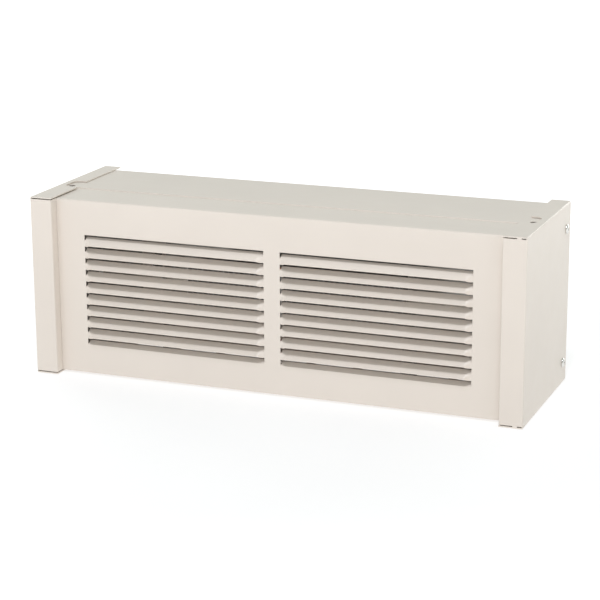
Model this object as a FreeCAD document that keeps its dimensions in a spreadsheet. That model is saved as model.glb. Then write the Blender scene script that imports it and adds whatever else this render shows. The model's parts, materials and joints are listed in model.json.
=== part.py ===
import FreeCAD, Part
import Sketcher
import math
import os

# Electric baseboard heater: a louvred front cover and a back pan, closed by two box-shaped
# end caps that slide off sideways, with a finned element and its wiring inside.
# Frame: X along the heater, -Y towards the room, +Z up. The origin is the middle of the
# footprint, on the plane that the end caps stand on. Everything is in millimetres.

doc = FreeCAD.newDocument("baseboard_heater")
dims = doc.addObject("Spreadsheet::Sheet", "dims")

DIMENSIONS = [
    # overall
    ("overall_width", 542.0),
    ("overall_depth", 174.0),
    ("overall_height", 194.5),
    ("cap_sheet", 1.2),
    ("body_sheet", 0.9),
    ("fold_radius", 2.0),
    ("slip_gap", 0.3),
    # front cover
    ("cover_width", 538.0),
    ("cover_bottom", 1.5),
    ("cover_top", 192.9),
    ("cover_setback", 12.0),
    ("cover_flange_end", 82.0),
    # louvres
    ("louvre_pitch", 12.7),
    ("louvre_count", 10),
    ("louvre_first", 154.5),
    ("louvre_angle", 50.0),
    ("louvre_blend", 8.0),
    ("louvre_slit", 0.3),
    ("bank_width", 205.0),
    ("bank_gap", 18.0),
    # back pan
    ("pan_front_edge", 65.5),
    ("pan_back_face", 165.0),
    ("inlet_slot_length", 44.0),
    ("inlet_slot_width", 3.5),
    ("inlet_slot_pitch", 54.0),
    ("inlet_row_pitch", 9.0),
    ("inlet_first_row", 86.0),
    ("inlet_per_row", 8),
    ("inlet_rows", 6),
    ("entry_radius", 11.1),
    ("entry_inset", 20.0),
    ("entry_low", 62.0),
    ("entry_high", 122.0),
    # end caps
    ("strip_width", 25.0),
    ("rear_tab_width", 20.5),
    ("notch_start", 61.5),
    ("notch_end", 90.5),
    ("notch_floor", 7.5),
    ("notch_corner", 8.0),
    ("corner_slit", 1.1),
    ("corner_tab", 4.5),
    ("corner_tab_inset", 6.0),
    ("cap_screw_radius", 2.1),
    ("cap_screw_length", 12.0),
    ("cap_screw_head_radius", 5.0),
    ("cap_screw_head_height", 2.6),
    ("cap_screw_depth", 158.0),
    ("cap_screw_low", 23.0),
    ("cap_screw_high", 168.0),
    ("cap_screw_running", 0.05),
    # wiring compartments
    ("partition_inset", 37.0),
    ("partition_flange", 13.0),
    ("clip_hole_inset", 12.8),
    ("clip_hole_depth", 71.7),
    ("clip_hole_radius", 3.7),
    ("clip_nut_length", 16.0),
    ("clip_nut_width", 12.0),
    ("clip_nut_height", 2.2),
    ("clip_barrel_radius", 4.2),
    ("clip_bore_radius", 3.0),
    ("bracket_low", 9.0),
    ("bracket_high", 183.0),
    ("bracket_sheet", 1.6),
    ("bracket_reach", 13.0),
    ("bracket_foot", 5.0),
    ("rivet_radius", 2.6),
    ("rivet_height", 1.2),
    ("partition_rivet_low", 60.0),
    ("partition_rivet_high", 135.0),
    ("ground_screw_radius", 3.6),
    ("ground_screw_depth", 42.0),
    # wall rails
    ("rail_length", 440.0),
    ("rail_low", 37.0),
    ("rail_high", 157.0),
    ("rail_web", 24.0),
    ("rail_flange", 9.0),
    ("wall_hole_spacing", 406.4),
    ("wall_hole_radius", 3.25),
    # heating element
    ("element_depth", 92.0),
    ("element_height", 94.0),
    ("sheath_radius", 5.5),
    ("sheath_length", 480.0),
    ("fin_count", 40),
    ("fin_pitch", 6.0),
    ("fin_sheet", 0.5),
    ("fin_depth", 64.0),
    ("fin_height", 50.0),
    ("pin_radius", 1.6),
    ("pin_reach", 7.0),
    ("support_left", 155.0),
    ("support_right", 120.5),
    ("support_sheet", 1.0),
    ("support_half_depth", 16.0),
    ("support_above", 14.0),
    ("bushing_radius", 9.0),
    ("bushing_lip", 2.0),
    ("bushing_side", 2.5),
    ("bead_length", 4.0),
    ("shield_half_length", 184.0),
    ("shield_low", 32.0),
    ("shield_high", 176.0),
    ("shield_gap", 16.0),
    ("shield_sheet", 0.6),
    # high-limit
    ("capillary_radius", 1.2),
    ("capillary_depth", 65.0),
    ("capillary_rise", 29.0),
    ("capillary_left_reach", 205.0),
    ("capillary_grommet_radius", 3.5),
    ("capillary_socket", 3.0),
    ("switch_width", 15.0),
    ("switch_before", 16.0),
    ("switch_behind", 14.0),
    ("switch_above", 22.0),
    ("switch_below", 12.0),
    ("switch_blade_half", 3.0),
    ("switch_blade_sheet", 0.8),
    ("switch_blade_length", 7.0),
    # wiring
    ("wire_radius", 1.5),
    ("wire_grommet_radius", 4.0),
    ("grommet_rim_width", 1.5),
    ("wire_nut_mouth", 5.5),
    ("wire_nut_crown", 3.2),
    ("wire_nut_height", 20.0),
]

for row, (alias, value) in enumerate(DIMENSIONS, start=1):
    dims.set("A%d" % row, alias)
    dims.set("B%d" % row, str(value))
    dims.setAlias("B%d" % row, alias)
doc.recompute()

FRONT = "-dims.overall_depth / 2"
BACK = "dims.overall_depth / 2"
END = "dims.overall_width / 2"
LEFT = -1
RIGHT = 1
SIDES = {"left": LEFT, "right": RIGHT}


def number(expression):
    """The value of an expression in the driving dimensions."""
    return float(dims.evalExpression(expression))


def depth(alias):
    """Expression for the Y of something measured back from the end caps' front face."""
    return "(dims.%s - dims.overall_depth / 2)" % alias


def box(name, low, high):
    """A block between two corners, each given as three expressions."""
    block = doc.addObject("Part::Box", name)
    for size, place, start, end in zip(("Length", "Width", "Height"), "xyz", low, high):
        block.setExpression(size, "(%s) - (%s)" % (end, start))
        block.setExpression("Placement.Base." + place, "%s" % start)
    return block


def side_box(name, side, inner, outer, low, high):
    """A block on one side; inner and outer are distances from the middle plane."""
    if side > 0:
        ends = (inner, outer)
    else:
        ends = ("-(%s)" % outer, "-(%s)" % inner)
    return box(name, (ends[0],) + low, (ends[1],) + high)


TURNS = {
    "x": FreeCAD.Rotation(FreeCAD.Vector(0, 1, 0), 90),
    "y": FreeCAD.Rotation(FreeCAD.Vector(1, 0, 0), -90),
    "z": FreeCAD.Rotation(),
}


def cylinder(name, axis, radius, length, start):
    """A round bar along +X, +Y or +Z from a start point given as three expressions."""
    bar = doc.addObject("Part::Cylinder", name)
    bar.Placement = FreeCAD.Placement(FreeCAD.Vector(), TURNS[axis])
    bar.setExpression("Radius", radius)
    bar.setExpression("Height", length)
    for place, base in zip("xyz", start):
        bar.setExpression("Placement.Base." + place, base)
    return bar


def fuse(name, pieces):
    """One solid from several that share faces or overlap."""
    joined = doc.addObject("Part::MultiFuse", name)
    joined.Shapes = pieces
    joined.Refine = True
    return joined


def cut(name, base, tools):
    """The base less every tool."""
    tool = tools[0] if len(tools) == 1 else fuse(name + "_tools", tools)
    result = doc.addObject("Part::Cut", name)
    result.Base = base
    result.Tool = tool
    return result


def group(name, pieces):
    """Several separate solids that make up one sub-part."""
    bundle = doc.addObject("Part::Compound", name)
    bundle.Links = pieces
    return bundle


def fold(name, base, radius, is_fold):
    """Round the edges that is_fold picks out by their two end points."""
    doc.recompute()
    rounded = doc.addObject("Part::Fillet", name)
    rounded.Base = base
    picked = []
    for place, edge in enumerate(base.Shape.Edges, start=1):
        ends = [vertex.Point for vertex in edge.Vertexes]
        if len(ends) == 2 and is_fold(ends[0], ends[1]):
            picked.append((place, radius, radius))
    rounded.Edges = picked
    return rounded


def both(first, second, axis, target):
    """True if both points have the coordinate target on one axis."""
    return abs(getattr(first, axis) - target) < 0.01 and abs(getattr(second, axis) - target) < 0.01


def outlined_body(name, plane, outline):
    """A PartDesign body with a closed outline on one plane; its corners are given by expressions."""
    body = doc.addObject("PartDesign::Body", name)
    sketch = body.newObject("Sketcher::SketchObject", name + "_outline")
    origin = [item for item in body.Origin.OriginFeatures if item.Role == plane][0]
    sketch.AttachmentSupport = [(origin, "")]
    sketch.MapMode = "FlatFace"
    corners = [FreeCAD.Vector(number(across), number(up), 0) for across, up in outline]
    for start, end in zip(corners, corners[1:] + corners[:1]):
        sketch.addGeometry(Part.LineSegment(start, end))
    for index in range(len(corners)):
        following = (index + 1) % len(corners)
        sketch.addConstraint(Sketcher.Constraint("Coincident", index, 2, following, 1))
    return body, sketch


def profile_body(name, plane, outline, length):
    """A constrained outline padded both ways."""
    body, sketch = outlined_body(name, plane, outline)
    for index, (across, up) in enumerate(outline):
        for kind, expression in (("DistanceX", across), ("DistanceY", up)):
            rule = Sketcher.Constraint(kind, index, 1, number(expression))
            sketch.setExpression("Constraints[%d]" % sketch.addConstraint(rule), expression)
    doc.recompute()
    pad = body.newObject("PartDesign::Pad", name + "_pad")
    pad.Profile = sketch
    pad.Midplane = True
    pad.setExpression("Length", length)
    return body


def turned_body(name, outline):
    """An outline turned about X: its corners are (along X, radius)."""
    body, sketch = outlined_body(name, "XZ_Plane", outline)
    doc.recompute()
    turn = body.newObject("PartDesign::Revolution", name + "_turn")
    turn.Profile = sketch
    turn.ReferenceAxis = (sketch, ["H_Axis"])
    turn.Angle = 360
    return body


def tube(name, route, radius):
    """A round wire along straight runs, joined by tangent arcs as large as the runs allow."""
    points = [FreeCAD.Vector(*point) for point in route]
    edges = []
    start = points[0]
    for before, corner, after in zip(points, points[1:], points[2:]):
        back = (before - corner).normalize()
        ahead = (after - corner).normalize()
        turn = math.pi - back.getAngle(ahead)
        reach = 0.45 * min((before - corner).Length, (after - corner).Length)
        inner = (back + ahead).normalize()
        bend = reach / math.tan(turn / 2)
        centre = corner + inner * (bend / math.cos(turn / 2))
        enter = corner + back * reach
        leave = corner + ahead * reach
        edges.append(Part.LineSegment(start, enter).toShape())
        edges.append(Part.Arc(enter, centre - inner * bend, leave).toShape())
        print("%s bend radius %.1f" % (name, bend))
        start = leave
    edges.append(Part.LineSegment(start, points[-1]).toShape())
    spine = Part.Wire(edges)
    section = Part.Wire(Part.makeCircle(radius, points[0], points[1] - points[0]))
    wire = doc.addObject("Part::Feature", name)
    wire.Shape = spine.makePipeShell([section], True, False)
    expected = math.pi * radius ** 2 * spine.Length
    print("%s volume %.1f, expected %.1f" % (name, wire.Shape.Volume, expected))
    return wire


# ---------------------------------------------------------------- front cover

def strip_section(x, height_low, height_high, centre, angle):
    """A thin rectangle across the sheet at one X, turned about its centre line."""
    half = number("dims.body_sheet / 2")
    middle = number(FRONT + " + dims.cover_setback + dims.body_sheet / 2")
    corners = []
    for up, through in ((height_low, -half), (height_high, -half), (height_high, half), (height_low, half)):
        y = middle + up * math.sin(angle) + through * math.cos(angle)
        z = centre + up * math.cos(angle) - through * math.sin(angle)
        corners.append(FreeCAD.Vector(x, y, z))
    return Part.makePolygon(corners + corners[:1])


def louvre_strip(start, end, height_low, height_high, centre):
    """A strip of the sheet, flat where it joins the panel and turned in between."""
    blend = number("dims.louvre_blend")
    angle = math.radians(number("dims.louvre_angle"))
    stations = ((start, 0.0), (start + blend, angle), (end - blend, angle), (end, 0.0))
    sections = [strip_section(x, height_low, height_high, centre, turn) for x, turn in stations]
    return Part.makeLoft(sections, True, True)


def louvre_banks():
    """The turned strips of both banks, and the lip below the last slit of each."""
    pitch = number("dims.louvre_pitch")
    count = int(number("dims.louvre_count"))
    half = (pitch - number("dims.louvre_slit")) / 2
    overlap = number("dims.body_sheet / 4")
    lip_root = number("dims.louvre_first") - pitch * (count - 0.5)
    inner = number("dims.bank_gap / 2")
    outer = inner + number("dims.bank_width")
    solids = []
    for start, end in ((-outer, -inner), (inner, outer)):
        for index in range(count - 1):
            centre = number("dims.louvre_first") - pitch * (index + 0.5)
            solids.append(louvre_strip(start, end, -half, half, centre))
        solids.append(louvre_strip(start, end, -overlap, half, lip_root))
    banks = doc.addObject("Part::Feature", "louvre_banks")
    banks.Shape = Part.makeCompound(solids)
    return banks


def front_cover():
    """Folded sheet: front panel with two louvre banks, top and bottom flanges."""
    face = "(-dims.overall_depth / 2 + dims.cover_setback)"
    half = "dims.cover_width / 2"
    rear = depth("cover_flange_end")
    top = "dims.cover_top - dims.body_sheet"
    outside = box("cover_outside", ("-" + half, face, "dims.cover_bottom"), (half, rear, top))
    hollow = box(
        "cover_hollow",
        ("-%s - 1" % half, face + " + dims.body_sheet", "dims.cover_bottom + dims.body_sheet"),
        (half + " + 1", rear + " + 1", top + " - dims.body_sheet"),
    )
    channel = cut("cover_channel", outside, [hollow])
    front = number(face)
    folds = (number("dims.cover_bottom"), number(top))

    def is_fold(first, second):
        return both(first, second, "y", front) and any(both(first, second, "z", height) for height in folds)

    folded = fold("cover_folded", channel, number("dims.fold_radius"), is_fold)
    last = "(dims.louvre_first - (dims.louvre_count - 0.5) * dims.louvre_pitch)"
    windows = []
    for side_name, side in SIDES.items():
        windows.append(side_box(
            side_name + "_window", side, "dims.bank_gap / 2", "(dims.bank_gap / 2 + dims.bank_width)",
            (face + " - 1", last), (face + " + 2", "dims.louvre_first"),
        ))
        windows.append(clip_hole(side_name + "_cover_hole", side))
    opened = cut("cover_opened", folded, windows)
    return fuse("front_cover", [opened, louvre_banks()])


def clip_hole(name, side):
    """Hole down through the top flanges, in line with the end cap's notch."""
    x = "(%d * (dims.overall_width / 2 - dims.clip_hole_inset))" % side
    start = (x, depth("clip_hole_depth"), "dims.cover_top - 6")
    return cylinder(name, "z", "dims.clip_hole_radius", "10", start)


# ---------------------------------------------------------------- back pan

def back_pan():
    """Folded sheet: back, top and bottom, the top lying on the cover's top flange."""
    edge = depth("pan_front_edge")
    back = depth("pan_back_face")
    top = "dims.cover_top"
    low = "(dims.cover_bottom + dims.body_sheet)"
    outline = [
        (edge, low),
        (back, low),
        (back, top),
        (edge, top),
        (edge, top + " - dims.body_sheet"),
        (back + " - dims.body_sheet", top + " - dims.body_sheet"),
        (back + " - dims.body_sheet", low + " + dims.body_sheet"),
        (edge, low + " + dims.body_sheet"),
    ]
    channel = profile_body("pan_channel", "YZ_Plane", outline, "dims.cover_width")
    rear = number(back)
    heights = (number(low), number(top))

    def is_fold(first, second):
        return both(first, second, "y", rear) and any(both(first, second, "z", height) for height in heights)

    folded = fold("pan_folded", channel, number("dims.fold_radius"), is_fold)
    holes = []
    for side_name, side in SIDES.items():
        holes.append(clip_hole(side_name + "_pan_hole", side))
        for level in ("low", "high"):
            entry = "%s_entry_%s" % (side_name, level)
            x = "(%d * (dims.overall_width / 2 - dims.entry_inset))" % side
            start = (x, back + " - 3", "dims.entry_" + level)
            holes.append(cylinder(entry, "y", "dims.entry_radius", "6", start))
    holes += wall_holes("pan_low", "low", back + " - 3", "6")
    holes += wall_holes("pan_high", "high", back + " - 3", "6")
    holes += inlet_slots(low)
    return cut("back_pan", folded, holes)


def wall_holes(name, level, start, length):
    """Two holes for wall screws, at the height of one rail."""
    holes = []
    for side_name, side in SIDES.items():
        start_point = ("(%d * dims.wall_hole_spacing / 2)" % side, start, "dims.rail_" + level)
        label = "%s_%s_hole" % (name, side_name)
        holes.append(cylinder(label, "y", "dims.wall_hole_radius", length, start_point))
    return holes


def inlet_slots(low):
    """Rows of narrow air inlets in the bottom."""
    slots = []
    per_row = int(number("dims.inlet_per_row"))
    for row in range(int(number("dims.inlet_rows"))):
        y = "(%s + %d * dims.inlet_row_pitch)" % (depth("inlet_first_row"), row)
        for column in range(per_row):
            middle = "((%d - (dims.inlet_per_row - 1) / 2) * dims.inlet_slot_pitch)" % column
            slots.append(box(
                "inlet_%d_%d" % (row, column),
                (middle + " - dims.inlet_slot_length / 2", y, low + " - 1"),
                (middle + " + dims.inlet_slot_length / 2", y + " + dims.inlet_slot_width", low + " + 2"),
            ))
    return slots


# ---------------------------------------------------------------- end caps

def end_cap(label, side):
    """Box-shaped end: side plate, top and bottom flanges, a front strip and its return."""
    inner = "(dims.overall_width / 2 - dims.strip_width)"
    outer = "dims.overall_width / 2"
    high = "dims.overall_height"
    outside = side_box(label + "_outside", side, inner, outer, (FRONT, "0"), (BACK, high))
    hollow = side_box(
        label + "_hollow", side, inner + " - 1", outer + " - dims.cap_sheet",
        (FRONT + " + dims.cap_sheet", "dims.cap_sheet"), (BACK + " + 1", high + " - dims.cap_sheet"),
    )
    shell = cut(label + "_shell", outside, [hollow])
    plane = number("%d * (%s)" % (side, outer))
    front = number(FRONT)
    heights = (0.0, number(high))

    def is_fold(first, second):
        on_side = both(first, second, "x", plane)
        along_front = both(first, second, "y", front)
        along_flange = any(both(first, second, "z", height) for height in heights)
        return on_side and (along_front or along_flange)

    folded = fold(label + "_folded", shell, number("dims.fold_radius * 0.75"), is_fold)
    lip = side_box(
        label + "_return", side, inner, inner + " + dims.cap_sheet",
        (FRONT + " + dims.cap_sheet / 2", "dims.cap_sheet"),
        (FRONT + " + dims.cover_setback - dims.slip_gap", high + " - dims.cap_sheet"),
    )
    sheet = fuse(label + "_sheet", [folded, lip])
    slit_sheet = cut(label + "_slit_sheet", sheet, corner_slits(label, side, inner))
    inner_plane = number("%d * %s" % (side, inner))

    def is_strip_fold(first, second):
        upright = abs(first[2] - second[2]) > 100
        return upright and both(first, second, "x", inner_plane) and both(first, second, "y", front)

    strip = fold(label + "_strip", slit_sheet, number("dims.fold_radius * 0.75"), is_strip_fold)
    tools = notch_tools(label, side, inner)
    for level in ("low", "high"):
        begin = "%d * dims.overall_width / 2 - 5" % side
        start = (begin, depth("cap_screw_depth"), "dims.cap_screw_" + level)
        radius = "dims.cap_screw_radius + dims.slip_gap"
        tools.append(cylinder(label + "_screw_hole_" + level, "x", radius, "10", start))
    return cut(label, strip, tools)


def notch_tools(label, side, inner):
    """The notch half way along both flanges, and the narrower rear half of each flange."""
    tools = []
    floor = "(dims.overall_width / 2 - dims.notch_floor)"
    rear_edge = "(dims.overall_width / 2 - dims.rear_tab_width)"
    floor_plane = number("%d * %s" % (side, floor))

    def is_corner(first, second):
        upright = abs(first[2] - second[2]) > 3
        return upright and both(first, second, "x", floor_plane)

    levels = {"bottom": ("-1", "3"), "top": ("dims.overall_height - 3", "dims.overall_height + 1")}
    for level, (low, high) in levels.items():
        near = (depth("notch_start"), low)
        far = (depth("notch_end"), high)
        block = side_box("%s_notch_block_%s" % (label, level), side, inner + " - 1", floor, near, far)
        tools.append(fold("%s_notch_%s" % (label, level), block, number("dims.notch_corner"), is_corner))
        tools.append(side_box(
            "%s_rear_trim_%s" % (label, level), side, inner + " - 1", rear_edge,
            (depth("notch_start"), low), (BACK + " + 1", high),
        ))
    return tools


def corner_slits(label, side, inner):
    """Open corners between the strip and the flanges; the right cap has a weld across each."""
    tools = []
    outer = "(dims.overall_width / 2 - dims.cap_sheet)"
    tab_out = "(dims.overall_width / 2 - dims.corner_tab_inset)"
    tab_in = "(dims.overall_width / 2 - dims.corner_tab_inset - dims.corner_tab)"
    near = FRONT + " - 1"
    far = FRONT + " + dims.cap_sheet"
    lip_far = FRONT + " + dims.cover_setback"
    under_top = "dims.overall_height - dims.cap_sheet"
    levels = {
        "bottom": ("dims.cap_sheet", "dims.cap_sheet + dims.corner_slit"),
        "top": (under_top + " - dims.corner_slit", under_top),
    }
    reaches = [(inner + " - 1", outer)]
    if side == RIGHT:
        reaches = [(inner + " - 1", tab_in), (tab_out, outer)]
    for level, (low, high) in levels.items():
        for part, (start, end) in enumerate(reaches):
            name = "%s_slit_%s_%d" % (label, level, part)
            tools.append(side_box(name, side, start, end, (near, low), (far, high)))
        tools.append(side_box(
            "%s_lip_slit_%s" % (label, level), side, inner + " - 1", inner + " + dims.cap_sheet",
            (near, low), (lip_far, high),
        ))
    return tools


def cap_screws(label, side):
    """Two round-head screws that hold an end cap from the side."""
    screws = []
    for level in ("low", "high"):
        name = "%s_%s" % (label, level)
        face = "(%d * dims.overall_width / 2)" % side
        centre = (depth("cap_screw_depth"), "dims.cap_screw_" + level)
        start = (face if side < 0 else face + " - dims.cap_screw_length",) + centre
        shank = cylinder(name + "_shank", "x", "dims.cap_screw_radius", "dims.cap_screw_length", start)
        head = round_head(name + "_head", side, number(face), [number(item) for item in centre])
        screws.append(fuse(name, [shank, head]))
    return group(label, screws)


def round_head(name, side, face, centre):
    """A domed head with a cross recess."""
    rim = number("dims.cap_screw_head_radius")
    height = number("dims.cap_screw_head_height")
    ball = (rim ** 2 + height ** 2) / (2 * height)
    out = FreeCAD.Vector(side, 0, 0)
    seat = FreeCAD.Vector(face, centre[0], centre[1])
    dome = Part.makeSphere(ball, seat + out * (height - ball))
    keep = Part.makeCylinder(rim, height + 1, seat, out)
    head_shape = dome.common(keep)
    for width, tall in ((1.2, 5.0), (5.0, 1.2)):
        corner = seat + out * height - FreeCAD.Vector(1.2, width / 2, tall / 2)
        head_shape = head_shape.cut(Part.makeBox(2.4, width, tall, corner))
    head = doc.addObject("Part::Feature", name)
    head.Shape = head_shape
    return head


# ---------------------------------------------------------------- wiring compartments

def partition(label, side):
    """Upright wall between the element and a wiring compartment, flanged on three edges."""
    wall = "(dims.overall_width / 2 - dims.partition_inset)"
    out = wall + " + dims.partition_flange"
    front = FRONT + " + dims.cover_setback + dims.body_sheet + 1"
    back = depth("pan_back_face") + " - dims.body_sheet"
    low = "(dims.cover_bottom + 2 * dims.body_sheet)"
    high = "(dims.cover_top - 2 * dims.body_sheet)"
    plate = side_box(label + "_plate", side, wall, wall + " + dims.body_sheet", (front, low), (back, high))
    top = side_box(label + "_top", side, wall, out, (front, high + " - dims.body_sheet"), (back, high))
    base = side_box(label + "_base", side, wall, out, (front, low), (back, low + " + dims.body_sheet"))
    rear = side_box(
        label + "_rear", side, wall + " - dims.partition_flange", wall + " + dims.body_sheet",
        (back + " - dims.body_sheet", low), (back, high),
    )
    sheet = fuse(label + "_sheet", [plate, top, base, rear])
    begin = "%d * %s - 3" % (side, wall)
    openings = [
        ("_element_hole", "dims.bushing_radius", ELEMENT),
        ("_wire_hole", "dims.wire_grommet_radius", RETURN_WIRE),
    ]
    if side == RIGHT:
        openings.append(("_capillary_hole", "dims.capillary_grommet_radius", CAPILLARY))
    holes = [cylinder(label + name, "x", radius, "6", (begin,) + middle) for name, radius, middle in openings]
    return cut(label, sheet, holes)


ELEMENT = (depth("element_depth"), "dims.element_height")
RETURN_WIRE = (depth("pan_back_face") + " - 13", "16")
CAPILLARY = (depth("capillary_depth"), "(dims.element_height + dims.capillary_rise)")


def cap_bracket(label, side):
    """Angle on the back pan that takes the end cap's two screws."""
    plate = "(dims.overall_width / 2 - dims.cap_sheet - 2 * dims.slip_gap)"
    back = depth("pan_back_face") + " - dims.body_sheet"
    low = "dims.bracket_low"
    high = "dims.bracket_high"
    ear = side_box(
        label + "_ear", side, plate + " - dims.bracket_sheet", plate,
        (back + " - dims.bracket_reach", low), (back, high),
    )
    foot = side_box(
        label + "_foot", side, plate + " - dims.bracket_foot", plate,
        (back + " - dims.bracket_sheet", low), (back, high),
    )
    angle = fuse(label + "_angle", [ear, foot])
    holes = []
    for level in ("low", "high"):
        begin = "%d * dims.overall_width / 2 - dims.cap_screw_length" % side
        start = (begin, depth("cap_screw_depth"), "dims.cap_screw_" + level)
        radius = "dims.cap_screw_radius + dims.cap_screw_running"
        holes.append(cylinder(label + "_hole_" + level, "x", radius, "2 * dims.cap_screw_length", start))
    return cut(label, angle, holes)


def clip_nuts():
    """Folded spring nuts under the holes in the top flanges."""
    clips = []
    for side_name, side in SIDES.items():
        middle = "(dims.overall_width / 2 - dims.clip_hole_inset)"
        under = "(dims.cover_top - 2 * dims.body_sheet - 0.1)"
        centre = depth("clip_hole_depth")
        leaf = side_box(
            side_name + "_clip_leaf", side,
            middle + " - dims.clip_nut_width / 2", middle + " + dims.clip_nut_width / 2",
            (centre + " - dims.clip_nut_length / 2", under + " - dims.clip_nut_height"),
            (centre + " + dims.clip_nut_length / 2", under),
        )
        start = ("%d * %s" % (side, middle), centre, under + " - 5")
        barrel = cylinder(side_name + "_clip_barrel", "z", "dims.clip_barrel_radius", "4", start)
        bore = cylinder(side_name + "_clip_bore", "z", "dims.clip_bore_radius", "8", start)
        clips.append(cut(side_name + "_clip", fuse(side_name + "_clip_body", [leaf, barrel]), [bore]))
    return group("clip_nuts", clips)


def knockout_discs():
    """Blanks that close three of the four cable entries."""
    discs = []
    back = depth("pan_back_face")
    for side_name, level in (("left", "high"), ("right", "low"), ("right", "high")):
        x = "(%d * (dims.overall_width / 2 - dims.entry_inset))" % SIDES[side_name]
        start = (x, back + " - dims.body_sheet", "dims.entry_" + level)
        name = "knockout_%s_%s" % (side_name, level)
        discs.append(cylinder(name, "y", "dims.entry_radius - 0.05", "dims.body_sheet", start))
    return group("knockout_discs", discs)


# ---------------------------------------------------------------- wall rails

def wall_rails():
    """Two hat-section rails that hold the back pan off the wall and carry its screws."""
    rails = []
    back = depth("pan_back_face")
    for level in ("low", "high"):
        middle = "dims.rail_" + level
        name = "rail_" + level
        half = "(dims.rail_web / 2)"
        skirt = "(dims.rail_web / 2 + dims.rail_flange)"
        thick = "dims.cap_sheet"
        outline = [
            (back, "%s - %s" % (middle, skirt)),
            ("%s + %s" % (back, thick), "%s - %s" % (middle, skirt)),
            ("%s + %s" % (back, thick), "%s - %s" % (middle, half)),
            (BACK, "%s - %s" % (middle, half)),
            (BACK, "%s + %s" % (middle, half)),
            ("%s + %s" % (back, thick), "%s + %s" % (middle, half)),
            ("%s + %s" % (back, thick), "%s + %s" % (middle, skirt)),
            (back, "%s + %s" % (middle, skirt)),
            (back, "%s + %s - %s" % (middle, half, thick)),
            ("%s - %s" % (BACK, thick), "%s + %s - %s" % (middle, half, thick)),
            ("%s - %s" % (BACK, thick), "%s - %s + %s" % (middle, half, thick)),
            (back, "%s - %s + %s" % (middle, half, thick)),
        ]
        hat = profile_body(name, "YZ_Plane", outline, "dims.rail_length")
        rails.append(cut(name + "_drilled", hat, wall_holes(name, level, back, "12")))
    return group("wall_rails", rails)


# ---------------------------------------------------------------- heating element

def element_sheath():
    """Straight steel tube through both partitions."""
    start = ("-dims.sheath_length / 2",) + ELEMENT
    sheath = cylinder("sheath_bar", "x", "dims.sheath_radius", "dims.sheath_length", start)
    sockets = []
    radius = "dims.sheath_radius - 1"
    for side_name, side in SIDES.items():
        end = "%d * dims.sheath_length / 2" % side
        begin = (end if side < 0 else end + " - dims.bead_length",) + ELEMENT
        sockets.append(cylinder(side_name + "_socket", "x", radius, "dims.bead_length", begin))
    return cut("element_sheath", sheath, sockets)


def element_fins():
    """Thin plates on the sheath, each with a short drawn collar."""
    count = int(number("dims.fin_count"))
    pitch = number("dims.fin_pitch")
    sheet = number("dims.fin_sheet")
    wide = number("dims.fin_depth")
    tall = number("dims.fin_height")
    radius = number("dims.sheath_radius")
    centre_y = number(ELEMENT[0])
    centre_z = number(ELEMENT[1])
    plate = Part.makeBox(sheet, wide, tall, FreeCAD.Vector(0, centre_y - wide / 2, centre_z - tall / 2))
    along = FreeCAD.Vector(1, 0, 0)
    collar = Part.makeCylinder(radius + sheet, sheet * 5, FreeCAD.Vector(0, centre_y, centre_z), along)
    bore = Part.makeCylinder(radius, sheet * 7, FreeCAD.Vector(-sheet, centre_y, centre_z), along)
    fin = plate.fuse(collar).cut(bore)
    corners = [
        edge for edge in fin.Edges
        if len(edge.Vertexes) == 2 and abs(edge.Length - sheet) < 0.01
        and abs(edge.Vertexes[0].Y - centre_y) > wide / 2 - 0.01
    ]
    fin = fin.makeFillet(3.0, corners)
    fins = doc.addObject("Part::Feature", "element_fins")
    middle = (count - 1) / 2
    places = [FreeCAD.Vector((index - middle) * pitch - sheet / 2, 0, 0) for index in range(count)]
    fins.Shape = Part.makeCompound([fin.translated(place) for place in places])
    return fins


def terminal_pins():
    """Conductors that stand out of the sheath's ends."""
    pins = []
    for side_name, side in SIDES.items():
        end = "%d * dims.sheath_length / 2" % side
        begin = (end if side > 0 else end + " - dims.pin_reach",) + ELEMENT
        pins.append(cylinder(side_name + "_pin", "x", "dims.pin_radius", "dims.pin_reach", begin))
    return group("terminal_pins", pins)


def pin_insulators():
    """Ceramic beads that seal the sheath round each pin."""
    beads = []
    for side_name, side in SIDES.items():
        end = "%d * dims.sheath_length / 2" % side
        begin = (end if side < 0 else end + " - dims.bead_length",) + ELEMENT
        beads.append(cylinder(side_name + "_bead", "x", "dims.sheath_radius - 1", "dims.bead_length", begin))
    return group("pin_insulators", beads)


def element_bushings():
    """Grooved bushings in the partitions, in which the sheath can grow as it heats."""
    bushings = []
    for side_name, side in SIDES.items():
        wall = "(%d * (dims.overall_width / 2 - dims.partition_inset + dims.body_sheet / 2))" % side
        groove = "dims.bushing_radius"
        rim = "(dims.bushing_radius + dims.bushing_lip)"
        bore = "dims.sheath_radius"
        half_wall = "(dims.body_sheet / 2)"
        face = "(dims.body_sheet / 2 + dims.bushing_side)"
        outline = [
            ("-" + face, bore), ("-" + face, rim), ("-" + half_wall, rim), ("-" + half_wall, groove),
            (half_wall, groove), (half_wall, rim), (face, rim), (face, bore),
        ]
        ring = turned_body(side_name + "_bushing", outline)
        ring.setExpression("Placement.Base.x", wall)
        ring.setExpression("Placement.Base.y", ELEMENT[0])
        ring.setExpression("Placement.Base.z", ELEMENT[1])
        bushings.append(ring)
    return group("element_bushings", bushings)


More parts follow.
